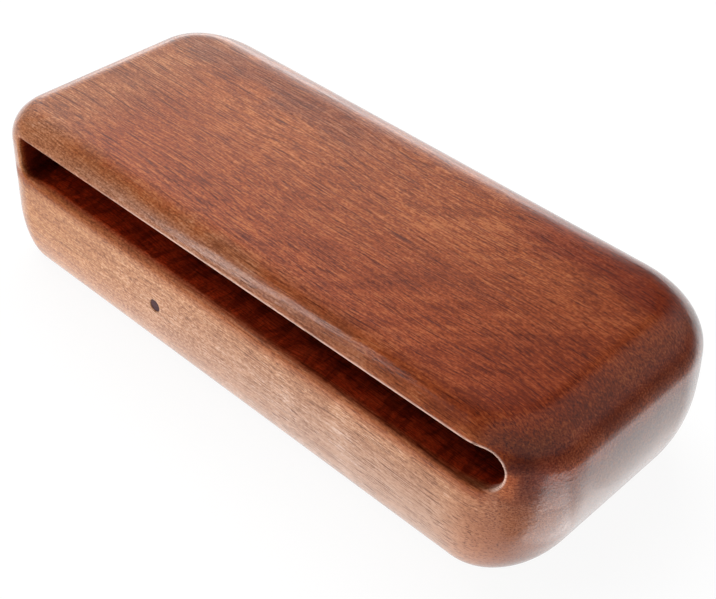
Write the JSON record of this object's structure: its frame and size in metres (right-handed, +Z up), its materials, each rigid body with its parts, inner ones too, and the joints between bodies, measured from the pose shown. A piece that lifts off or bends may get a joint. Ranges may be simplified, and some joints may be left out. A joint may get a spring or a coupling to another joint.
{
  "type": "woodblock",
  "caption": "Concert woodblock: a solid hardwood block with rounded edges, a long tone slot milled in under its thin top plate, and a dark dowel plug in the front.",
  "frame": {"origin": "middle of the base", "axes": "+X along the block, -Y out of the slot's mouth, +Z up through the struck top"},
  "size_m": [0.2174, 0.0952, 0.0554],
  "materials": {
    "lacquered_mahogany": "clear gloss lacquer over reddish-brown hardwood with fine dark pores along the length",
    "dark_dowel": "dark end grain, satin"
  },
  "bodies": {
    "root": {"block_body": "lacquered_mahogany", "front_plug": "dark_dowel"}
  },
  "joints": []
}
